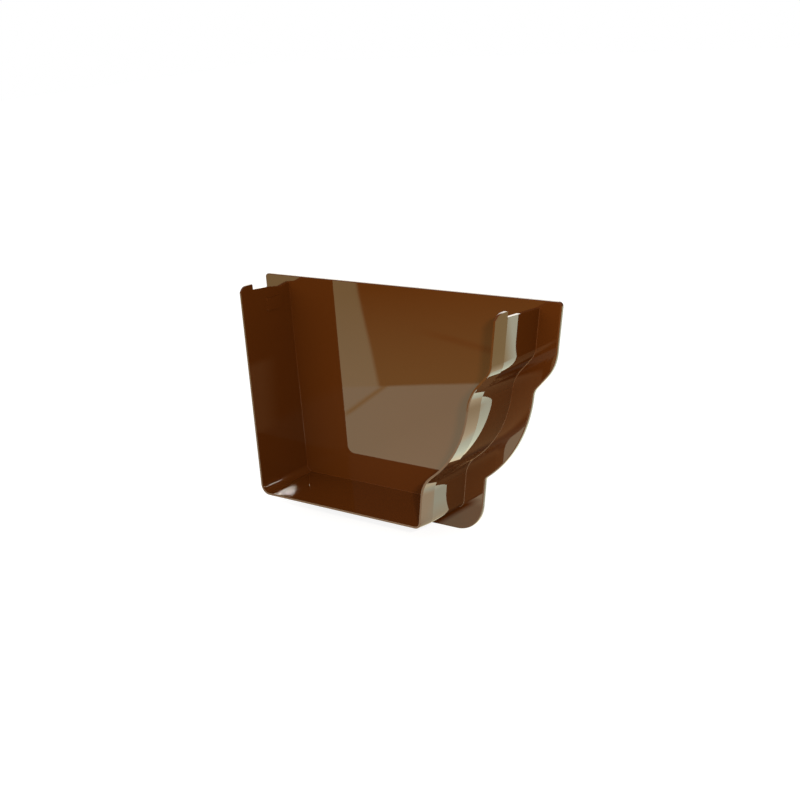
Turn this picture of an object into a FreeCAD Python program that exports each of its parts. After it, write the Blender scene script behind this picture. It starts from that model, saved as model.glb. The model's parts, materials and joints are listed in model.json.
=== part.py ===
"""Gutter end cap for an ogee rainwater gutter, injection moulded in one piece.

A flat end plate carries a spigot: an open trough with the gutter's own section (upright back,
flat sole, ogee front) that slides into the last gutter fitting. The plate follows the same
ogee outside the spigot, so that it hides the end of the fitting's socket.

Frame: X runs from the back (wall side) to the front of the gutter, Z is up, and the spigot
stands out of the plate towards -Y. The origin is the middle of the spigot's section on the
face of the plate. Units are millimetres and degrees.
"""
import FreeCAD, Part
import math
import os

# Spigot, outside sizes
spigot_width = 110.4        # back to front, along the top edges
spigot_height = 75.4        # underside of the sole to the top edges
spigot_depth = 24.0         # how far it stands out of the plate
wall = 1.2                  # thickness of back, sole and front at the mouth, before the nose
draft = 0.4                 # how much thicker each wall is at its root

# Ogee front of the spigot, heights above the underside of the sole
front_lean = 9.6            # how far the straight stretches lean outwards
brow_height = 58.8          # sharp corner under the upper straight stretch
brow_radius = 8.0
shelf_slope = 45.0          # short slope between brow and quirk
shelf_drop = 9.1            # from the brow down to where the slope would meet the belly
quirk_radius = 14.0
belly_radius = 41.1
step_height = 17.3          # where the belly would meet the bead
step_radius = 10.5
sole_width = 74.4           # back to the sharp corner with the bead
toe_radius = 3.2
back_radius = 4.1           # corner of back and sole

# End plate: how far it reaches past the spigot
plate_thickness = 1.5
front_margin = 7.9
sole_margin = 8.4
back_margin = 10.0
top_margin = 1.7
plate_toe_radius = 12.0
plate_corner_radius = 1.8
plate_back_radius = 1.5
plate_edge_round = 0.4

# Lead-in nose at the mouth of the spigot
nose_length = 6.0
nose_inset = 0.5
mouth_chamfer = 0.2

# Locking tabs on the top edges of both walls, at the mouth
tab_height = 2.5
tab_length = 5.9
tab_lead_length = 3.4       # rounded lead-in from the mouth up to the level top
tab_lead_drop = 1.9
tab_back_round = 0.5

# Top edges behind the tabs: the back one dips before it meets the plate
tab_step = 0.5              # how much higher both edges start, beside the tab
front_dip = 0.8
back_dip = 1.3
back_dip_start = 12.0
back_dip_end = 4.6
back_rise = 0.7             # from the dip up to the plate

# Roots of the walls, and the low pad inside the back wall
inner_root_fillet = 0.15
outer_root_fillet = 0.2
pad_length = 7.6
pad_height = 4.6
pad_rise = 0.35
pad_below_edge = 6.4        # centre of the pad below the top edge
pad_from_plate = 8.4

NODE = "gutter_end_cap"
tall = spigot_height + tab_height


def place(across, up, along=0.0):
    """Point from its distance in front of the spigot's back, above its underside, and along Y."""
    return FreeCAD.Vector(across - spigot_width / 2, along, up - spigot_height / 2)


class Ray:
    """A straight stretch of the outline: a point on it and the outward normal."""

    def __init__(self, across, up, normal_angle, outward=0.0):
        self.normal = (math.cos(normal_angle), math.sin(normal_angle))
        self.point = (across + outward * self.normal[0], up + outward * self.normal[1])

    def shifted(self, distance):
        angle = math.atan2(self.normal[1], self.normal[0])
        return Ray(self.point[0], self.point[1], angle, distance)


def crossing(a, b):
    """Point where two straight stretches meet."""
    reach_a = a.normal[0] * a.point[0] + a.normal[1] * a.point[1]
    reach_b = b.normal[0] * b.point[0] + b.normal[1] * b.point[1]
    spread = a.normal[0] * b.normal[1] - a.normal[1] * b.normal[0]
    across = (reach_a * b.normal[1] - reach_b * a.normal[1]) / spread
    up = (a.normal[0] * reach_b - b.normal[0] * reach_a) / spread
    return across, up


def foot(centre, ray):
    """Point of a straight stretch nearest to a centre."""
    gap = sum((p - c) * n for p, c, n in zip(ray.point, centre, ray.normal))
    return centre[0] + gap * ray.normal[0], centre[1] + gap * ray.normal[1]


def at_distance(centre, radius, ray, upper):
    """Point of a straight stretch at a given distance from a centre."""
    near = foot(centre, ray)
    half = math.sqrt(radius ** 2 - math.dist(centre, near) ** 2)
    if not upper:
        half = -half
    return near[0] - half * ray.normal[1], near[1] + half * ray.normal[0]


def belly_centre():
    """Centre of the belly's arc, from its two ends and its radius."""
    lean = math.tan(math.radians(front_lean))
    brow_across = spigot_width - (spigot_height - brow_height) * lean
    top = (brow_across - shelf_drop / math.tan(math.radians(shelf_slope)), brow_height - shelf_drop)
    low = (sole_width + step_height * lean, step_height)
    chord = math.dist(top, low)
    sagitta = math.sqrt(belly_radius ** 2 - (chord / 2) ** 2)
    middle = ((top[0] + low[0]) / 2, (top[1] + low[1]) / 2)
    inward = (-(top[1] - low[1]) / chord, (top[0] - low[0]) / chord)
    return middle[0] + sagitta * inward[0], middle[1] + sagitta * inward[1]


def arc(centre, radius, start, end, along):
    """Short arc of the outline between two points about a centre."""
    middle = ((start[0] + end[0]) / 2, (start[1] + end[1]) / 2)
    reach = radius / math.dist(centre, middle)
    crown = (centre[0] + (middle[0] - centre[0]) * reach, centre[1] + (middle[1] - centre[1]) * reach)
    return Part.Arc(place(*start, along), place(*crown, along), place(*end, along)).toShape()


def outline(along, front=0.0, sole=0.0, back=0.0, toe=toe_radius, heel=back_radius, top=tall):
    """Closed section at one Y, grown outwards by the given amounts on its three sides."""
    lean = math.radians(front_lean)
    brow_across = spigot_width - (spigot_height - brow_height) * math.tan(lean)
    face = Ray(spigot_width, spigot_height, -lean, front)
    shelf = Ray(brow_across, brow_height, math.radians(shelf_slope) - math.pi / 2, front)
    bead = Ray(sole_width, 0.0, -lean, front)
    under = Ray(0.0, 0.0, -math.pi / 2, sole)
    rear = Ray(0.0, 0.0, math.pi, back)
    lid = Ray(0.0, top, math.pi / 2)

    brow = brow_radius + front
    quirk = quirk_radius - front
    belly = belly_radius + front
    step = step_radius - front
    belly_at = belly_centre()
    brow_at = crossing(face.shifted(-brow), shelf.shifted(-brow))
    quirk_at = at_distance(belly_at, belly + quirk, shelf.shifted(quirk), upper=True)
    step_at = at_distance(belly_at, belly + step, bead.shifted(step), upper=False)
    toe_at = crossing(bead.shifted(-toe), under.shifted(-toe))
    heel_at = crossing(rear.shifted(-heel), under.shifted(-heel))

    def on_belly(other):
        share = belly / math.dist(belly_at, other)
        return tuple(c + (o - c) * share for c, o in zip(belly_at, other))

    corners = [
        crossing(lid, face),
        foot(brow_at, face), foot(brow_at, shelf),
        foot(quirk_at, shelf), on_belly(quirk_at),
        on_belly(step_at), foot(step_at, bead),
        foot(toe_at, bead), foot(toe_at, under),
        foot(heel_at, under), foot(heel_at, rear),
        crossing(lid, rear),
    ]
    rounds = {
        1: (brow_at, brow), 3: (quirk_at, quirk), 4: (belly_at, belly), 5: (step_at, step),
        7: (toe_at, toe), 9: (heel_at, heel),
    }
    edges = []
    for index, (start, end) in enumerate(zip(corners, corners[1:] + corners[:1])):
        if index in rounds:
            centre, radius = rounds[index]
            edges.append(arc(centre, radius, start, end, along))
        else:
            edges.append(Part.LineSegment(place(*start, along), place(*end, along)).toShape())
    return Part.Wire(edges)


def grown(along, amount, top=tall):
    """The spigot's own outline at one Y, grown outwards all round by one amount."""
    return outline(along, amount, amount, amount, toe_radius + amount, back_radius + amount, top)


def prism(section, length):
    """Solid made by pushing a flat section along Y."""
    return Part.Face(section).extrude(FreeCAD.Vector(0, length, 0))


def end_plate():
    """The flat plate with its ogee outline and softly rounded edges."""
    section = outline(
        0.0, front_margin, sole_margin, back_margin, plate_toe_radius, plate_back_radius,
        spigot_height + top_margin)
    plate = prism(section, plate_thickness)
    top = plate.BoundBox.ZMax
    upright = [e for e in plate.Edges if e.BoundBox.YLength > plate_thickness / 2]
    at_top = sorted((e for e in upright if e.BoundBox.ZMin > top - 0.01), key=lambda e: e.BoundBox.XMin)
    plate = plate.makeFillet(plate_back_radius, at_top[:1])
    upright = [e for e in plate.Edges if e.BoundBox.YLength > plate_thickness / 2]
    at_front = [e for e in upright if e.BoundBox.ZMin > top - 0.01]
    at_front = [max(at_front, key=lambda e: e.BoundBox.XMin)]
    plate = plate.makeFillet(plate_corner_radius, at_front)
    rims = [e for e in plate.Edges if e.BoundBox.YLength < 0.01]
    return plate.makeFillet(plate_edge_round, rims)


def trough():
    """The spigot's walls with their lead-in nose, up to the height of the tabs."""
    straight = spigot_depth - nose_length
    lip = spigot_depth - mouth_chamfer
    over = tall + wall
    outside = prism(grown(0.0, 0.0), -straight)
    nose = Part.makeLoft(
        [grown(-straight, 0.0), grown(-lip, -nose_inset), grown(-spigot_depth, -nose_inset - mouth_chamfer)],
        True, True)
    inside = Part.makeLoft(
        [grown(0.0, -wall - draft, over), grown(-lip, -wall, over), grown(-spigot_depth, mouth_chamfer - wall, over)],
        True, True)
    return outside.fuse(nose).cut(inside).removeSplitter()


def side_cut(profile, start, width):
    """Cutter with a profile of (Y, height above the sole), pushed along X."""
    points = [place(start, up, along) for along, up in profile]
    return Part.Face(Part.makePolygon(points + points[:1])).extrude(FreeCAD.Vector(width, 0, 0))


def lead_in_cut():
    """Cutter over the mouth that rounds both tabs up to their level top."""
    half = spigot_width / 2
    over = tall + wall
    radius = (tab_lead_length ** 2 + tab_lead_drop ** 2) / (2 * tab_lead_drop)
    turn = math.asin(tab_lead_length / radius) / 2
    crest = -spigot_depth + tab_lead_length
    start = place(-half, tall - tab_lead_drop, -spigot_depth)
    crown = place(-half, tall - radius * (1 - math.cos(turn)), crest - radius * math.sin(turn))
    end = place(-half, tall, crest)
    above_end = place(-half, over, crest)
    above_start = place(-half, over, -spigot_depth)
    profile = Part.Wire([
        Part.Arc(start, crown, end).toShape(),
        Part.LineSegment(end, above_end).toShape(),
        Part.LineSegment(above_end, above_start).toShape(),
        Part.LineSegment(above_start, start).toShape(),
    ])
    return Part.Face(profile).extrude(FreeCAD.Vector(2 * spigot_width, 0, 0))


def notched(walls):
    """Cuts the top edges down behind the tabs and rounds the tabs."""
    over = tall + wall
    behind_tab = -(spigot_depth - tab_length)
    half = spigot_width / 2
    beside_tab = spigot_height + tab_step
    low = spigot_height - back_dip
    front_edge = [
        (behind_tab, over), (behind_tab, beside_tab), (0.0, spigot_height - front_dip), (0.0, over)]
    back_edge = [
        (behind_tab, over), (behind_tab, beside_tab), (-back_dip_start, spigot_height),
        (-back_dip_end, low), (0.0, low + back_rise), (0.0, over)]
    walls = walls.cut(side_cut(back_edge, -half, spigot_width))
    walls = walls.cut(side_cut(front_edge, half, spigot_width))
    walls = walls.cut(lead_in_cut())
    crest = place(0.0, tall, behind_tab)
    crests = [
        e for e in walls.Edges
        if all(abs(v.Z - crest.z) < 0.01 and abs(v.Y - crest.y) < 0.01 for v in e.Vertexes)]
    return walls.makeFillet(tab_back_round, crests)


def edges_on(solid, wire):
    """Edges of a solid that lie along a section."""
    found = []
    for edge in solid.Edges:
        middle = (edge.FirstParameter + edge.LastParameter) / 2
        if Part.Vertex(edge.valueAt(middle)).distToShape(wire)[0] < 0.01:
            found.append(edge)
    return found


def inner_pad():
    """Low rounded pad on the inside of the back wall, under the dip."""
    corner = pad_height / 4
    low = place(wall, spigot_height - pad_below_edge - pad_height / 2, -pad_from_plate - pad_length / 2)
    pad = Part.makeBox(draft + pad_rise, pad_length, pad_height, low)
    along_x = [e for e in pad.Edges if e.BoundBox.XLength > pad_rise]
    return pad.makeFillet(corner, along_x)


walls = notched(trough()).fuse(inner_pad())
cap = end_plate().fuse(walls).removeSplitter()
cap = cap.makeFillet(inner_root_fillet, edges_on(cap, grown(0.0, -wall - draft)))
cap = cap.makeFillet(outer_root_fillet, edges_on(cap, grown(0.0, 0.0)))

os.makedirs("parts", exist_ok=True)
cap.exportStep(os.path.join("parts", NODE + ".step"))
box = cap.optimalBoundingBox(False)
print(NODE, "valid", cap.isValid(), "solids", len(cap.Solids), "volume mm3", round(cap.Volume))
print("size mm", round(box.XLength, 2), round(box.YLength, 2), round(box.ZLength, 2))
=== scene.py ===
# %% [markdown]
# # A gutter end cap in glossy brown plastic
# The object is one injection moulding: a flat end plate and an open trough, called the spigot,
# that slides into the last fitting of an ogee gutter. This lesson models it once more as a clean
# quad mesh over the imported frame, so that its gloss reflects without facets, and then lights it
# the way small shiny mouldings are photographed: on a white sheet, with a flash near the lens.

# %% Load the frame
import json
import math
import bmesh
import bpy
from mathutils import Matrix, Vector

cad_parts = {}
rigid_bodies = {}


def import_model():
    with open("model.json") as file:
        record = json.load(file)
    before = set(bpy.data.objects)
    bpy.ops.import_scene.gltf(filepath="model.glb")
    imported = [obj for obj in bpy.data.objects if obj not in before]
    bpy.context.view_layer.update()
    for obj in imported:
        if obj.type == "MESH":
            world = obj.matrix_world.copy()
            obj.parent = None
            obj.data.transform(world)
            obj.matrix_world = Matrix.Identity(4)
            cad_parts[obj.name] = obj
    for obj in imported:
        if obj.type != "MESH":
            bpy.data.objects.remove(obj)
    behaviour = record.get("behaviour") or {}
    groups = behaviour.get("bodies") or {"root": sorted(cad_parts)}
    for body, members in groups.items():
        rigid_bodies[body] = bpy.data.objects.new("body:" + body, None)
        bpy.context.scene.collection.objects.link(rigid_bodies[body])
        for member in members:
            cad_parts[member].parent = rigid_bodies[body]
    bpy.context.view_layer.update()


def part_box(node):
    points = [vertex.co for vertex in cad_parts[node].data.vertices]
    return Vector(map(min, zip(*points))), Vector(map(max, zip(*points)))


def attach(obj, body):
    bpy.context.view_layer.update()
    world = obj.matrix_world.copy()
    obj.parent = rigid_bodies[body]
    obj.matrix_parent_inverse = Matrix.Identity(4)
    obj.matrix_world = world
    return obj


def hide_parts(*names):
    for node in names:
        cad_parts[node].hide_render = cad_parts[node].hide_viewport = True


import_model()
NODE = "gutter_end_cap"
box_low, box_high = (Vector(corner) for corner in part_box(NODE))
MM = 0.001
TINY = 0.001 * MM
HAIR = 0.01 * MM
print("frame box in mm", [round(v / MM, 2) for v in (*box_low, *box_high)])

# %% [markdown]
# ## Sizes
# The drawing of a moulding gives straight stretches and the radii between them. These are the
# same driving sizes as in the construction, in metres. What the frame's box already says, such
# as the depth of the spigot and the thickness of the plate, is read from the box instead.

# %% Driving sizes
spigot_width = 110.4 * MM
spigot_height = 75.4 * MM
spigot_depth = -box_low.y
wall = 1.2 * MM
draft = 0.4 * MM

front_lean = math.radians(9.6)
brow_height = 58.8 * MM
brow_radius = 8.0 * MM
shelf_slope = math.radians(45.0)
shelf_drop = 9.1 * MM
quirk_radius = 14.0 * MM
belly_radius = 41.1 * MM
step_height = 17.3 * MM
step_radius = 10.5 * MM
sole_width = 74.4 * MM
toe_radius = 3.2 * MM
heel_radius = 4.1 * MM

plate_thickness = box_high.y
front_margin = 7.9 * MM
sole_margin = 8.4 * MM
back_margin = -box_low.x - spigot_width / 2
top_margin = 1.7 * MM
plate_toe_radius = 12.0 * MM
plate_heel_radius = 1.5 * MM
plate_corner_radius = 1.8 * MM
plate_edge_round = 0.4 * MM

nose_length = 6.0 * MM
nose_inset = 0.5 * MM

tab_height = 2.5 * MM
tab_length = 5.9 * MM
tab_lead_length = 3.4 * MM
tab_lead_drop = 1.9 * MM
tab_back_round = 0.5 * MM
tab_step = 0.5 * MM
front_dip = 0.8 * MM
back_dip = 1.3 * MM
back_dip_start = 12.0 * MM
back_dip_end = 4.6 * MM
back_rise = 0.7 * MM

inner_root_fillet = 0.15 * MM
outer_root_fillet = 0.2 * MM
edge_break = 0.12 * MM

pad_length = 7.6 * MM
pad_height = 4.6 * MM
pad_rise = 0.35 * MM
pad_below_edge = 6.4 * MM
pad_from_plate = 8.4 * MM

# %% [markdown]
# ## The ogee as straight stretches and compass arcs
# An ogee is an S-shaped front: a brow that bulges, a hollow quirk, a long belly, a hollow step and
# a small toe. It could be traced freehand with a curve, but then the plate's larger ogee would
# not run parallel to it. Here each round is an arc with its own centre, so moving the whole line
# outwards only makes the bulging radii larger and the hollow ones smaller.

# %% Corners and centres of the ogee
class Line:
    """A straight stretch: a point on it and its outward normal, in (across, up)."""

    def __init__(self, across, up, normal_angle, outward=0.0):
        self.angle = normal_angle
        self.normal = Vector((math.cos(normal_angle), math.sin(normal_angle)))
        self.point = Vector((across, up)) + self.normal * outward

    def moved(self, distance):
        return Line(*self.point, self.angle, distance)

    def foot(self, centre):
        return centre + self.normal * (self.point - centre).dot(self.normal)

    def meets(self, other):
        spread = self.normal.x * other.normal.y - self.normal.y * other.normal.x
        own, theirs = self.point.dot(self.normal), other.point.dot(other.normal)
        return Vector((
            (own * other.normal.y - theirs * self.normal.y) / spread,
            (self.normal.x * theirs - other.normal.x * own) / spread))

    def at_distance(self, centre, radius, upwards):
        near = self.foot(centre)
        half = math.sqrt(radius ** 2 - (near - centre).length ** 2) * (1 if upwards else -1)
        return near + Vector((-self.normal.y, self.normal.x)) * half


lean_run = math.tan(front_lean)
brow_across = spigot_width - (spigot_height - brow_height) * lean_run


def belly_centre():
    """Centre of the long belly arc, from its two ends and its radius."""
    high = Vector((brow_across - shelf_drop / math.tan(shelf_slope), brow_height - shelf_drop))
    low = Vector((sole_width + step_height * lean_run, step_height))
    chord = high - low
    inward = Vector((-chord.y, chord.x)).normalized()
    return (high + low) / 2 + inward * math.sqrt(belly_radius ** 2 - (chord.length / 2) ** 2)


def ogee(front, sole, back, toe, heel, top):
    """Start point, arcs as (centre, start, end, steps) and end point, from front top to back top."""
    face = Line(spigot_width, spigot_height, -front_lean, front)
    shelf = Line(brow_across, brow_height, shelf_slope - math.pi / 2, front)
    bead = Line(sole_width, 0, -front_lean, front)
    under = Line(0, 0, -math.pi / 2, sole)
    rear = Line(0, 0, math.pi, back)
    lid = Line(0, top, math.pi / 2)
    belly_at = belly_centre()
    belly = belly_radius + front
    quirk = quirk_radius - front
    step = step_radius - front
    brow_at = face.moved(-brow_radius - front).meets(shelf.moved(-brow_radius - front))
    quirk_at = shelf.moved(quirk).at_distance(belly_at, belly + quirk, True)
    step_at = bead.moved(step).at_distance(belly_at, belly + step, False)
    toe_at = bead.moved(-toe).meets(under.moved(-toe))
    heel_at = rear.moved(-heel).meets(under.moved(-heel))
    belly_top = belly_at.lerp(quirk_at, belly / (belly + quirk))
    belly_foot = belly_at.lerp(step_at, belly / (belly + step))
    arcs = [
        (brow_at, face.foot(brow_at), shelf.foot(brow_at), 14),
        (quirk_at, shelf.foot(quirk_at), belly_top, 14),
        (belly_at, belly_top, belly_foot, 20),
        (step_at, belly_foot, bead.foot(step_at), 14),
        (toe_at, bead.foot(toe_at), under.foot(toe_at), 16),
        (heel_at, under.foot(heel_at), rear.foot(heel_at), 14),
    ]
    return lid.meets(face), arcs, lid.meets(rear)


def spigot_line(amount, top=spigot_height + tab_step):
    """The spigot's own ogee, moved outwards all round by one amount."""
    return ogee(amount, amount, amount, toe_radius + amount, heel_radius + amount, top)


def plate_line():
    """The plate's ogee: parallel to the spigot's front, further out below and behind."""
    return ogee(front_margin, sole_margin, back_margin, plate_toe_radius, plate_heel_radius,
                spigot_height + top_margin)


# %% [markdown]
# ## Drawing with the compass
# Each section is drawn as by hand: a single vertex is pushed along the straight stretches with
# extrude and swung round the centres with spin. Every section gets the same number of steps, so
# two of them can be bridged with straight quads, and a bridge keeps a mirror finish calm.

# %% Helpers for edit mode
def place(point, along):
    """Point of the section, in the part's frame."""
    return Vector((point.x - spigot_width / 2, along, point.y - spigot_height / 2))


def choose(kind, wanted):
    """Selects only the vertices, edges or faces that a test picks, and says how many."""
    bpy.ops.mesh.select_mode(type={"verts": "VERT", "edges": "EDGE", "faces": "FACE"}[kind])
    bpy.ops.mesh.select_all(action="DESELECT")
    mesh = bmesh.from_edit_mesh(bpy.context.edit_object.data)
    picked = [item for item in getattr(mesh, kind) if wanted(item)]
    for item in picked:
        item.select = True
    mesh.select_flush_mode()
    bmesh.update_edit_mesh(bpy.context.edit_object.data)
    return len(picked)


def near(vertex, spot):
    return (vertex.co - spot).length < TINY


def draw_section(piece, name, line, along):
    """Draws one section at a given Y and keeps its vertices in a group of that name."""
    start, arcs, end = line
    bpy.ops.mesh.select_all(action="DESELECT")
    mesh = bmesh.from_edit_mesh(piece.data)
    mesh.verts.new(place(start, along)).select = True
    bmesh.update_edit_mesh(piece.data)
    here = start
    for centre, arc_start, arc_end, steps in arcs:
        if (arc_start - here).length > TINY:
            move = place(arc_start, along) - place(here, along)
            bpy.ops.mesh.extrude_region_move(TRANSFORM_OT_translate={"value": move})
        turn = -(arc_start - centre).angle_signed(arc_end - centre)
        bpy.ops.mesh.spin(steps=steps, angle=turn, center=place(centre, along), axis=(0, 1, 0))
        here = arc_end
    move = place(end, along) - place(here, along)
    bpy.ops.mesh.extrude_region_move(TRANSFORM_OT_translate={"value": move})
    bpy.ops.mesh.select_linked()
    piece.vertex_groups.new(name=name)
    bpy.ops.object.vertex_group_assign()


def choose_groups(piece, *names):
    bpy.ops.mesh.select_mode(type="VERT")
    bpy.ops.mesh.select_all(action="DESELECT")
    for name in names:
        piece.vertex_groups.active = piece.vertex_groups[name]
        bpy.ops.object.vertex_group_select()


# %% Draw the sections of plate and spigot
bpy.ops.object.select_all(action="DESELECT")
bpy.ops.mesh.primitive_plane_add(size=MM, location=(0, 0, 0))
cap = bpy.context.object
cap.name = "end_cap_moulding"
bpy.ops.object.mode_set(mode="EDIT")
bpy.ops.mesh.select_all(action="SELECT")
bpy.ops.mesh.delete(type="VERT")
sections = [
    ("plate_outer", plate_line(), plate_thickness),
    ("plate_inner", plate_line(), 0.0),
    ("spigot_root", spigot_line(0.0), 0.0),
    ("nose_crease", spigot_line(0.0), nose_length - spigot_depth),
    ("mouth_outer", spigot_line(-nose_inset), -spigot_depth),
    ("mouth_inner", spigot_line(-wall), -spigot_depth),
    ("trough_root", spigot_line(-wall - draft), 0.0),
]
for name, line, along in sections:
    draw_section(cap, name, line, along)
names = [name for name, _, _ in sections]
for first, second in zip(names, names[1:]):
    choose_groups(cap, first, second)
    bpy.ops.mesh.bridge_edge_loops()
print("faces after bridging", len(bmesh.from_edit_mesh(cap.data).faces))

# %% [markdown]
# ## Closing the ends
# Bridging gives one long ribbon that is open at the top. Its two ends become the top edges of the
# walls and of the plate, and the plate's two faces are each one flat face. A flat face with many
# corners is no trouble here, because its normal is kept flat at the end.

# %% Close the plate and the top edges
ends = {name: (place(line[0], along), place(line[2], along)) for name, line, along in sections}
wall_names = names[2:]
for side in (0, 1):
    spots = [ends["spigot_root"][side], ends["trough_root"][side]]
    choose("verts", lambda v: any(near(v, spot) for spot in spots))
    bpy.ops.mesh.edge_face_add()
    spots = [ends[name][side] for name in wall_names]
    choose("edges", lambda e: all(any(near(v, spot) for spot in spots) for v in e.verts))
    bpy.ops.mesh.edge_face_add()
spots = [spot for name in names[:2] for spot in ends[name]]
choose("verts", lambda v: any(near(v, spot) for spot in spots))
bpy.ops.mesh.edge_face_add()
choose_groups(cap, "plate_outer")
bpy.ops.mesh.edge_face_add()
choose("edges", lambda e: len(e.link_faces) == 1)
last_hole = [e for e in bmesh.from_edit_mesh(cap.data).edges if e.select]
print("open edges before the last face", len(last_hole))
bpy.ops.mesh.edge_face_add()
bpy.ops.mesh.select_all(action="SELECT")
bpy.ops.mesh.normals_make_consistent(inside=False)
print("open edges", choose("edges", lambda e: len(e.link_faces) != 2))

# %% [markdown]
# ## Top edges, notches and tabs
# Both top edges run down from the tabs towards the plate, and the back one dips on the way. The
# walls are bisected where these slopes begin and end, and the new corners are then moved down
# their own wall. The tabs at the mouth are extruded up, and their leading corners are moved down.

# %% Cut the walls at the places where the top edges change slope
tab_start = tab_length - spigot_depth
lead_steps = 8
lead_stations = [tab_lead_length * step / lead_steps - spigot_depth for step in range(1, lead_steps + 1)]
stations = lead_stations + [tab_start, nose_length - spigot_depth, -back_dip_start, -back_dip_end]
for along in stations:
    choose("faces", lambda f: f.calc_center_median().y < -HAIR)
    bpy.ops.mesh.bisect(plane_co=(0, along, 0), plane_no=(0, 1, 0), threshold=TINY)

# %% Lower the top edges and raise the tabs
beside_tab = spigot_height + tab_step
top_level = beside_tab - spigot_height / 2
slopes = {
    "front": [(tab_start, 0.0), (0.0, tab_step + front_dip)],
    "back": [(tab_start, 0.0), (-back_dip_start, tab_step), (-back_dip_end, tab_step + back_dip),
             (0.0, tab_step + back_dip - back_rise)],
}


def drop_at(slope, along):
    """How far a top edge lies below its level beside the tab."""
    for (start, high), (end, low) in zip(slope, slope[1:]):
        if start <= along <= end:
            return high + (low - high) * (along - start) / (end - start)
    return 0.0


lead_radius = (tab_lead_length ** 2 + tab_lead_drop ** 2) / (2 * tab_lead_drop)
for side, slope in slopes.items():
    sign = 1 if side == "front" else -1
    lean = lean_run if side == "front" else 0.0
    for along in [0.0, -back_dip_end, -back_dip_start]:
        drop = drop_at(slope, along)
        choose("verts", lambda v: abs(v.co.y - along) < TINY and v.co.x * sign > 0
               and abs(v.co.z - top_level) < TINY)
        bpy.ops.transform.translate(value=(-drop * lean, 0, -drop))
    rise = tab_height - tab_step
    choose("faces", lambda f: f.normal.z > 0.9 and f.calc_center_median().x * sign > 0
           and f.calc_center_median().y < tab_start and f.calc_center_median().z > top_level - HAIR)
    bpy.ops.mesh.extrude_region_move(TRANSFORM_OT_translate={"value": (rise * lean, 0, rise)})
    crest = tab_lead_length - spigot_depth
    for along in [-spigot_depth] + lead_stations[:-1]:
        choose("verts", lambda v: abs(v.co.y - along) < TINY and v.co.x * sign > 0
               and abs(v.co.z - top_level - rise) < TINY)
        drop = lead_radius - math.sqrt(lead_radius ** 2 - (crest - along) ** 2)
        bpy.ops.transform.translate(value=(-drop * lean, 0, -drop))
    choose("edges", lambda e: all(abs(v.co.y - tab_start) < TINY and v.co.x * sign > 0
                                  and abs(v.co.z - top_level - rise) < TINY for v in e.verts))
    bpy.ops.mesh.bevel(offset=tab_back_round, segments=4, affect="EDGES", clamp_overlap=False)

# %% [markdown]
# ## Rounds
# A mould is cut with round tools and its edges are broken, so no edge of the real cap is quite
# sharp. The large rounds are made by bevelling chosen edges, while the mesh is still simple. The
# last fine edge break comes from a modifier that takes every edge that is still sharp.

# %% Round the plate's corners and rims, and fillet the roots of the walls
def choose_corner(sign):
    rim_top = spigot_height / 2 + top_margin
    return choose("edges", lambda e: all(abs(v.co.z - rim_top) < TINY and v.co.x * sign > 0
                                         for v in e.verts)
                  and abs(e.verts[0].co.y - e.verts[1].co.y) > plate_thickness / 2)


for sign, radius in ((1, plate_corner_radius), (-1, plate_heel_radius)):
    choose_corner(sign)
    bpy.ops.mesh.bevel(offset=radius, segments=8, affect="EDGES", clamp_overlap=False)


def is_rim(edge):
    """True where the plate's side meets one of its flat faces."""
    if len(edge.link_faces) != 2:
        return False
    flat, side = sorted(edge.link_faces, key=lambda f: -abs(f.normal.y))
    return abs(flat.normal.y) > 0.99 and abs(side.normal.y) < 0.01 and side.calc_center_median().y > 0


def at_root(edge, group):
    """True for edges of a wall's root: both ends belong wholly to that section."""
    return all(v[edge_layer].get(group, 0.0) > 0.99 for v in edge.verts)


print("rim edges", choose("edges", is_rim))
bpy.ops.mesh.bevel(offset=plate_edge_round, segments=4, affect="EDGES", clamp_overlap=False)
for name, radius in (("spigot_root", outer_root_fillet), ("trough_root", inner_root_fillet)):
    group = cap.vertex_groups[name].index
    edge_layer = bmesh.from_edit_mesh(cap.data).verts.layers.deform.active
    print(name, choose("edges", lambda e: at_root(e, group)))
    bpy.ops.mesh.bevel(offset=radius, segments=5, affect="EDGES", clamp_overlap=False)

# %% [markdown]
# ## The low pad inside the back wall
# Under the dip of the back wall the photo shows a faint raised mark. It is cut out of the wall's
# own inner face with four bisects and pushed up by a third of a millimetre, so that it stays part
# of the same skin, and its four corners are then rounded.

# %% Raise the pad from the wall's inner face
pad_middle = spigot_height / 2 - pad_below_edge
pad_spans = {"y": (-pad_from_plate - pad_length / 2, -pad_from_plate + pad_length / 2),
             "z": (pad_middle - pad_height / 2, pad_middle + pad_height / 2)}


def on_inner_back(face):
    """True for the inner face of the back wall, which looks towards the front of the gutter."""
    middle = face.calc_center_median()
    return face.normal.x > 0.99 and middle.x < wall + draft - spigot_width / 2 + 0.1 * MM and middle.y < 0


def on_pad(face):
    middle = face.calc_center_median()
    return on_inner_back(face) and all(
        low < getattr(middle, axis) < high for axis, (low, high) in pad_spans.items())


def pad_corner(edge):
    """True for the pad's four short edges, which run away from the wall at its corners."""
    start, end = (v.co for v in edge.verts)
    return abs(start.x - end.x) > pad_rise / 2 and all(
        min(abs(getattr(end, axis) - limit) for limit in span) < HAIR
        for axis, span in pad_spans.items())


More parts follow.
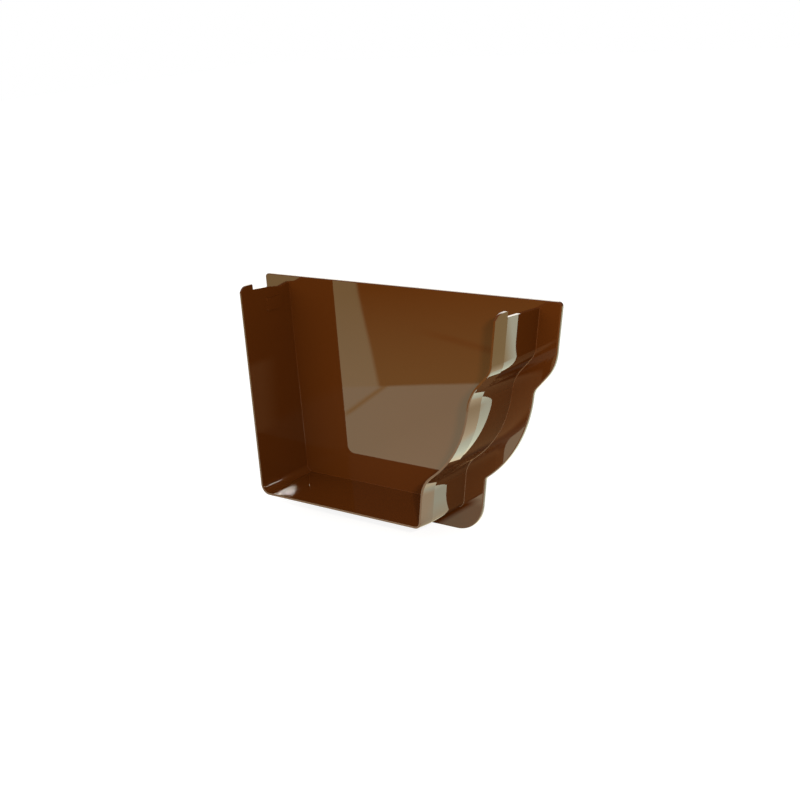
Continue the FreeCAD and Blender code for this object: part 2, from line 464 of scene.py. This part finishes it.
for axis, span in pad_spans.items():
    for cut in span:
        choose("faces", on_inner_back)
        bpy.ops.mesh.bisect(plane_co=(0, cut, 0) if axis == "y" else (0, 0, cut),
                            plane_no=(0, 1, 0) if axis == "y" else (0, 0, 1), threshold=TINY)
print("pad faces", choose("faces", on_pad))
pad_face = wall + draft + pad_rise - spigot_width / 2
bpy.ops.mesh.extrude_region_move(TRANSFORM_OT_translate={"value": (pad_rise, 0, 0)})
raised = [v for v in bmesh.from_edit_mesh(cap.data).verts if v.select]
middle_x = sum(v.co.x for v in raised) / len(raised)
bpy.ops.transform.resize(value=(0, 1, 1), center_override=(middle_x, 0, 0))
bpy.ops.transform.translate(value=(pad_face - middle_x, 0, 0))
print("pad corners", choose("edges", pad_corner))
bpy.ops.mesh.bevel(offset=pad_height / 4, segments=5, affect="EDGES", clamp_overlap=False)

# %% Keep the crease of the nose sharp, then break the last edges
choose("edges", lambda e: all(abs(v.co.y - nose_length + spigot_depth) < TINY for v in e.verts)
       and all(abs(f.normal.x) + abs(f.normal.z) > 0.5 for f in e.link_faces))
bpy.ops.mesh.mark_sharp()
bpy.ops.mesh.select_all(action="SELECT")
bpy.ops.mesh.normals_make_consistent(inside=False)
print("open edges", choose("edges", lambda e: len(e.link_faces) != 2))
bpy.ops.object.mode_set(mode="OBJECT")
bpy.ops.object.shade_smooth()
break_edges = cap.modifiers.new("edge break", "BEVEL")
break_edges.width = edge_break
break_edges.segments = 2
break_edges.limit_method = "ANGLE"
break_edges.angle_limit = math.radians(35)
flatten = cap.modifiers.new("flat faces stay flat", "WEIGHTED_NORMAL")
flatten.keep_sharp = True
flatten.weight = 100
for modifier in [m.name for m in cap.modifiers]:
    bpy.ops.object.modifier_apply(modifier=modifier)
cap.vertex_groups.clear()
print("faces", len(cap.data.polygons), "size mm", [round(v / MM, 2) for v in cap.dimensions])
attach(cap, "root")
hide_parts(NODE)

# %% [markdown]
# ## The finish: glossy plastic, brown right through
# The mould is polished, so the plastic comes out like a dark mirror. What tells it from glass is
# small: the walls shrink a little unevenly as they cool, so reflections swim by a hair, the polish
# has a faint orange peel, and handling leaves hairlines that are only seen in the gloss. A coat
# layer isn't needed, because the colour runs right through and the surface is the plastic itself.

# %% Small helpers for shader nodes
def new_node(tree, kind, **values):
    """Adds a node; a value goes to the socket of that name, or else to the node's own property."""
    node = tree.nodes.new(kind)
    for name, value in values.items():
        socket = node.inputs.get(name.replace("_", " ").title())
        if socket is not None:
            socket.default_value = value
        else:
            setattr(node, name, value)
    return node


def math_node(tree, operation, first, second):
    """One Math node; each term is a socket or a number."""
    node = tree.nodes.new("ShaderNodeMath")
    node.operation = operation
    for socket, term in zip(node.inputs, (first, second)):
        if isinstance(term, (int, float)):
            socket.default_value = term
        else:
            tree.links.new(term, socket)
    return node.outputs[0]


def noise_at(tree, where, size, detail=2.0, stretch=(1, 1, 1)):
    """Noise whose features have a given size in metres, stretched along the axes."""
    mapping = new_node(tree, "ShaderNodeMapping")
    mapping.inputs["Scale"].default_value = [1 / (size * s) for s in stretch]
    tree.links.new(where, mapping.inputs["Vector"])
    noise = new_node(tree, "ShaderNodeTexNoise", scale=1.0, detail=detail)
    tree.links.new(mapping.outputs[0], noise.inputs["Vector"])
    return noise.outputs["Fac"]


def map_range(tree, value, low, high, to_low, to_high):
    """Turns low..high into to_low..to_high, and goes no further at either end."""
    node = tree.nodes.new("ShaderNodeMapRange")
    tree.links.new(value, node.inputs["Value"])
    for name, number in (("From Min", low), ("From Max", high), ("To Min", to_low), ("To Max", to_high)):
        node.inputs[name].default_value = number
    return node.outputs["Result"]


# %% Brown plastic: colour
brown = (0.092, 0.0235, 0.0034)
tint_swing = 0.06
tint_patch = 30 * MM
refraction = 1.5
plastic = bpy.data.materials.new("brown_plastic")
plastic.use_nodes = True
tree = plastic.node_tree
shader = tree.nodes["Principled BSDF"]
shader.inputs["IOR"].default_value = refraction
where = new_node(tree, "ShaderNodeTexCoord").outputs["Object"]
tint = new_node(tree, "ShaderNodeMix", data_type="RGBA")
tint.inputs["A"].default_value = [(1 - tint_swing) * c for c in brown] + [1]
tint.inputs["B"].default_value = [(1 + tint_swing) * c for c in brown] + [1]
tree.links.new(noise_at(tree, where, tint_patch), tint.inputs["Factor"])
tree.links.new(tint.outputs["Result"], shader.inputs["Base Color"])
cap.data.materials.clear()
cap.data.materials.append(plastic)
print("brown", brown, "give or take", tint_swing)

# %% Brown plastic: polish, hairlines and sink waves
polished, clouded = 0.012, 0.028
cloud_patch = 12 * MM
hairline_gap = 1.2 * MM
hairline_stretch = (14, 14, 1)
hairline_dulls = 0.03
wave_length, wave_height = 24 * MM, 0.012 * MM
peel_length, peel_height = 1.6 * MM, 0.0001 * MM

cloud = map_range(tree, noise_at(tree, where, cloud_patch), 0.3, 0.7, polished, clouded)
streaks = noise_at(tree, where, hairline_gap, 3.0, hairline_stretch)
hairline = map_range(tree, streaks, 0.62, 0.70, 0.0, hairline_dulls)
tree.links.new(math_node(tree, "ADD", cloud, hairline), shader.inputs["Roughness"])

waves = math_node(tree, "MULTIPLY", noise_at(tree, where, wave_length, 1.0), wave_height)
peel = math_node(tree, "MULTIPLY", noise_at(tree, where, peel_length, 1.0), peel_height)
relief = new_node(tree, "ShaderNodeBump", strength=1.0, distance=1.0)
tree.links.new(math_node(tree, "ADD", waves, peel), relief.inputs["Height"])
tree.links.new(relief.outputs[0], shader.inputs["Normal"])
print("plastic nodes", len(tree.nodes))

# %% [markdown]
# ## What the gloss sees
# A dark mirror shows its surroundings, so the stage decides how the cap looks. The cap stands on
# a sheet that ends a hand's breadth in front of it, on a wooden table with a pale strip, and two
# cards lie at its right. The background is to be pure white, so the camera sees one endless white
# floor, and only glossy rays see the sheet's edge, the table and the cards. These could be real
# planes, but then they would show beside the cap. So they are drawn in the floor's material, on
# its own Object coordinates, in millimetres from the middle of the cap.

# %% Floor plane
floor_size = 4.0
bpy.ops.object.select_all(action="DESELECT")
bpy.ops.mesh.primitive_plane_add(size=floor_size, location=(0, 0, box_low.z))
floor = bpy.context.object
floor.name = "floor"
sheet = bpy.data.materials.new("white sheet on a table")
sheet.use_nodes = True
floor.data.materials.append(sheet)
tree = sheet.node_tree
tree.nodes.clear()
place_on_floor = new_node(tree, "ShaderNodeTexCoord").outputs["Object"]
print("floor lies at mm", round(floor.location.z / MM, 2))


# %% Helpers that draw on the floor
def facing(across, along):
    """A direction on the floor."""
    return Vector((across, along)).normalized()


def both(first, second):
    """Product of two factors: 1 only where both are 1."""
    return math_node(tree, "MULTIPLY", first, second)


def beyond(line_point, normal, soft):
    """0 on the near side of a line on the floor, 1 on the side its normal points to."""
    dot = new_node(tree, "ShaderNodeVectorMath", operation="DOT_PRODUCT")
    tree.links.new(place_on_floor, dot.inputs[0])
    dot.inputs[1].default_value = (*normal, 0)
    reach = Vector(line_point).dot(normal)
    starts, ends = (reach - soft / 2) * MM, (reach + soft / 2) * MM
    return map_range(tree, dot.outputs["Value"], starts, ends, 0.0, 1.0)


def band(line_point, normal, width, soft):
    """1 inside a soft-edged band along a line on the floor."""
    far_side = Vector(line_point) + normal * width
    return math_node(tree, "SUBTRACT", beyond(line_point, normal, soft), beyond(far_side, normal, soft))


def blend_colours(factor, first, second):
    """Mix of two colours, each three numbers or a socket."""
    mix = new_node(tree, "ShaderNodeMix", data_type="RGBA")
    tree.links.new(factor, mix.inputs["Factor"])
    for socket, colour in (("A", first), ("B", second)):
        if isinstance(colour, tuple):
            mix.inputs[socket].default_value = (*colour, 1)
        else:
            tree.links.new(colour, mix.inputs[socket])
    return mix.outputs["Result"]


rightward, leftward = facing(1, 0), facing(-1, 0)
mouthward, plateward = facing(0, -1), facing(0, 1)

# %% The wooden table, a seam in it and its pale strip
# Painted light: the table and its strip are painted brighter near the cap and darker further away, a
# painted falloff of light.
wood_lit_near, wood_dim_far = (1.1, 0.75, 0.27), (0.42, 0.17, 0.03)
seam_colour, seam_share = (0.5, 0.12, 0.02), 0.6
strip_lit_near, strip_dim_far = (2.1, 1.9, 1.1), (1.45, 1.4, 0.7)
away = facing(-0.49, -0.87)
to_strip = facing(-0.73, 0.68)
across_seam = facing(-0.285, 0.958)

wood = blend_colours(beyond((-180, -220), away, 200), wood_lit_near, wood_dim_far)
seam = both(band((-133, -207), across_seam, 5, 8), beyond((-160, 0), rightward, 30))
wood = blend_colours(both(seam, seam_share), wood, seam_colour)
strip = blend_colours(beyond((-190, -190), away, 220), strip_lit_near, strip_dim_far)
table = blend_colours(beyond((-117, -119), to_strip, 2), wood, strip)
print("nodes with the table", len(tree.nodes))

# %% The sheet, painted brighter at its right, with a painted shade line near its edge
# Painted light: the sheet is painted lighter at its right. The fold band is a darker painted shade line
# near the sheet's edge.
paper_less_lit_left, paper_more_lit_right = (2.1, 2.0, 1.32), (2.75, 2.4, 1.6)
fold_shade_colour = (1.6, 1.25, 0.55)
across_fold = facing(-0.96, 0.27)

paper = blend_colours(beyond((-30, 0), rightward, 80), paper_less_lit_left, paper_more_lit_right)
fold_shade = both(band((-111, -102), across_fold, 3, 3), beyond((0, -82), mouthward, 10))
paper = blend_colours(fold_shade, paper, fold_shade_colour)
seen = blend_colours(beyond((-119, -125), away, 4), paper, table)
print("nodes with the sheet", len(tree.nodes))

# %% Two cards at the right, and painted shade in front of them on the lens side
# Painted light: the near and far colours paint how brightly each card is lit along its length.
tan_near, tan_far = (3.2, 2.7, 1.8), (1.7, 1.45, 0.7)
pale_near, pale_far = (2.7, 2.9, 2.2), (3.2, 3.45, 2.65)
lens_side_shade_colour = (1.1, 0.4, 0.15)
to_pale = facing(-0.786, 0.618)

card_fade = beyond((95, 0), rightward, 100)
tan = blend_colours(card_fade, tan_near, tan_far)
pale = blend_colours(card_fade, pale_near, pale_far)
cards = blend_colours(beyond((35, 0), to_pale, 5), tan, pale)
seen = blend_colours(beyond((30, 0), rightward, 8), seen, cards)
# Painted shadow: the floor on the lens side, in front of the cards, is painted a dark brown.
lens_side_shade = both(beyond((0, -14), mouthward, 10), beyond((26, 0), rightward, 14))
seen = blend_colours(lens_side_shade, seen, lens_side_shade_colour)
print("nodes with the cards", len(tree.nodes))

# %% [markdown]
# ### Painted shade, dimming and glow in what is mirrored
# The floor is painted darker where the cap stands over it, a painted contact shadow which the gloss
# of the lower rims shows. And real plastic polarises light, so a mirror image of a mirror image is
# fainter than a renderer makes it. The floor can tell such a ray by its Glossy Depth and is painted
# dimmer for it. The one exception is the floor beside the nose: the plate's margin mirrors the ogee
# wall, and this wall mirrors that floor, which is painted with a strong glow, a painted reflection
# that makes the margin come out as warm as it is.

# %% Paint shade, dimming and glow on the mirrored floor
contact_shade_share = 0.5
repeat_share = 0.3
painted_margin_glow = (15.5, 9.0, 4.0)
from_mouth = facing(0.69, 0.725)

# Painted contact shadow: the floor under the sole and under the nose is painted darker.
inside_mouth = beyond((0, -24), plateward, 8)
shade_under_sole = both(beyond((7.5, 0), leftward, 3), inside_mouth)
shade_under_nose = both(beyond((22, 0), leftward, 6), inside_mouth)
contact_shade_factor = both(math_node(tree, "SUBTRACT", 1.0, shade_under_sole),
                  map_range(tree, shade_under_nose, 0.0, 1.0, 1.0, contact_shade_share))
glossy_depth = new_node(tree, "ShaderNodeLightPath").outputs["Glossy Depth"]
# Painted dimming: the floor is drawn fainter in reflections of reflections.
mirrored_twice = map_range(tree, glossy_depth, 1.0, 2.0, 0.0, 1.0)
# Painted reflection: beside the nose the floor glows strongly in twice-mirrored rays, so that the plate's
# margin is painted warm and bright.
glow_beside_nose = both(beyond((3, -36), from_mouth, 8), band((20, 0), rightward, 85, 8))
seen = blend_colours(both(mirrored_twice, glow_beside_nose), seen, painted_margin_glow)
brightness = both(contact_shade_factor, map_range(tree, mirrored_twice, 0.0, 1.0, 1.0, repeat_share))
print("nodes with the dimming", len(tree.nodes))

# %% [markdown]
# ### One floor for each kind of ray
# The camera sees a white that still takes the cap's shadow, so it's mostly a glow with a little
# matt paper in it. Glossy rays see the drawing. All other rays get a faint warm light back, and
# less of it from under the cap, where ambient occlusion says that the sky is hidden.


# %% The floor's material
def for_each_ray(tree, by_camera, in_gloss, otherwise):
    """One shader for camera rays, one for glossy rays and one for all others."""
    path = new_node(tree, "ShaderNodeLightPath")
    result = otherwise
    for ray, shader in (("Is Glossy Ray", in_gloss), ("Is Camera Ray", by_camera)):
        mix = new_node(tree, "ShaderNodeMixShader")
        tree.links.new(path.outputs[ray], mix.inputs["Fac"])
        tree.links.new(result.outputs[0], mix.inputs[1])
        tree.links.new(shader.outputs[0], mix.inputs[2])
        result = mix
    return result.outputs[0]


glow_share, matt_share = 0.86, 0.35
returned_light = 0.3
sky_reach = 50 * MM

glow = new_node(tree, "ShaderNodeEmission", color=(1, 1, 1, 1), strength=glow_share)
matt = new_node(tree, "ShaderNodeBsdfDiffuse", color=(matt_share, matt_share, matt_share, 1))
white_floor = new_node(tree, "ShaderNodeAddShader")
tree.links.new(glow.outputs[0], white_floor.inputs[0])
tree.links.new(matt.outputs[0], white_floor.inputs[1])

drawing = new_node(tree, "ShaderNodeEmission")
tree.links.new(seen, drawing.inputs["Color"])
tree.links.new(brightness, drawing.inputs["Strength"])

hidden = new_node(tree, "ShaderNodeAmbientOcclusion", distance=sky_reach, samples=8)
open_sky = math_node(tree, "POWER", hidden.outputs["AO"], 2.0)
warm_floor = new_node(tree, "ShaderNodeEmission", color=(1, 0.95, 0.85, 1))
tree.links.new(both(open_sky, returned_light), warm_floor.inputs["Strength"])

surface = new_node(tree, "ShaderNodeOutputMaterial")
tree.links.new(for_each_ray(tree, white_floor, drawing, warm_floor), surface.inputs["Surface"])
print("floor nodes", len(tree.nodes))

# %% [markdown]
# ## The room
# Three kinds of ray meet three different rooms as well. The camera sees plain white. Diffuse rays
# meet a soft box in front of the cap, so that faces towards the mouth are brighter than the side
# walls; an even white room would be simpler, but makes every face the same brown. A weaker light
# behind reaches only the outer face of the plate. Glossy rays meet a dim room with one low bright
# wall behind, which only the top edges and tabs catch.

# %% Room
room = bpy.data.worlds.new("room")
bpy.context.scene.world = room
room.use_nodes = True
tree = room.node_tree
tree.nodes.clear()
looking = new_node(tree, "ShaderNodeTexCoord").outputs["Generated"]


def towards(direction):
    """Cosine of the angle between a ray and a direction in the room."""
    dot = new_node(tree, "ShaderNodeVectorMath", operation="DOT_PRODUCT")
    tree.links.new(looking, dot.inputs[0])
    dot.inputs[1].default_value = Vector(direction).normalized()
    return dot.outputs["Value"]


soft_box_level, back_light_level = 2.4, 0.9
dim_room, low_wall_level = 0.2, 2.6

soft_box = map_range(tree, towards((-0.1, -0.95, 0.3)), 0.45, 1.0, 0.02, soft_box_level)
back_light = map_range(tree, towards((0.2, 0.95, 0.3)), 0.0, 1.0, 0.0, back_light_level)
above_table = map_range(tree, towards((0, 0, 1)), 0.0, 0.3, 0.05, 1.0)
lamps = new_node(tree, "ShaderNodeBackground", color=(1, 0.98, 0.93, 1))
tree.links.new(both(math_node(tree, "ADD", soft_box, back_light), above_table), lamps.inputs["Strength"])

low_wall = map_range(tree, towards((-0.62, 0.74, 0.26)), 0.88, 0.96, dim_room, low_wall_level)
mirrored_room = new_node(tree, "ShaderNodeBackground", color=(1, 0.97, 0.88, 1))
tree.links.new(low_wall, mirrored_room.inputs["Strength"])

white = new_node(tree, "ShaderNodeBackground", color=(1, 1, 1, 1), strength=1.0)
output = new_node(tree, "ShaderNodeOutputWorld")
tree.links.new(for_each_ray(tree, white, mirrored_room, lamps), output.inputs["Surface"])
print("room nodes", len(tree.nodes))

# %% [markdown]
# ## The camera
# A short telephoto, less than half a metre away and a little above the cap. Its place and turn
# were solved from the cap's own corners, so that they fall on the same places as in the photo.

# %% Camera
focal_length, sensor_width = 63.51, 36.0
camera_place = Vector((298.25, -362.84, 143.91)) * MM
camera_turn = (72.843, 4.412, 38.573)
nearest_seen = 10 * MM
camera_data = bpy.data.cameras.new("camera")
camera_data.lens = focal_length
camera_data.sensor_width = sensor_width
camera_data.clip_start = nearest_seen
camera = bpy.data.objects.new("camera", camera_data)
bpy.context.collection.objects.link(camera)
camera.location = camera_place
camera.rotation_euler = [math.radians(angle) for angle in camera_turn]
bpy.context.scene.camera = camera
bpy.context.scene.view_settings.view_transform = "Standard"
print("camera stands off by mm", round(camera_place.length / MM))

# %% [markdown]
# ## The flash
# Polished rounds turn a small lamp into the crispest marks on the cap: a streak along the rounded
# heel and a patch in its corner. Both are mirror images of the lamp, so its width and its place
# beside the lens set their length and where they lie. A large lamp would smear them.

# %% Flash beside the lens
flash_right, flash_up = 43 * MM, 31 * MM
flash_width, flash_height = 26 * MM, 5.5 * MM
flash_level = 2700
flash_data = bpy.data.lights.new("flash", "AREA")
flash_data.shape = "RECTANGLE"
flash_data.size = flash_width
flash_data.size_y = flash_height
flash_data.color = (1.0, 0.93, 0.84)
flash_data.energy = flash_level * math.pi * flash_width * flash_height
flash = bpy.data.objects.new("flash", flash_data)
bpy.context.collection.objects.link(flash)
turn = camera.rotation_euler.to_matrix()
flash.location = camera.location + turn @ Vector((flash_right, flash_up, 0))
flash.rotation_euler = camera.rotation_euler
print("flash energy W", round(flash_data.energy, 2))
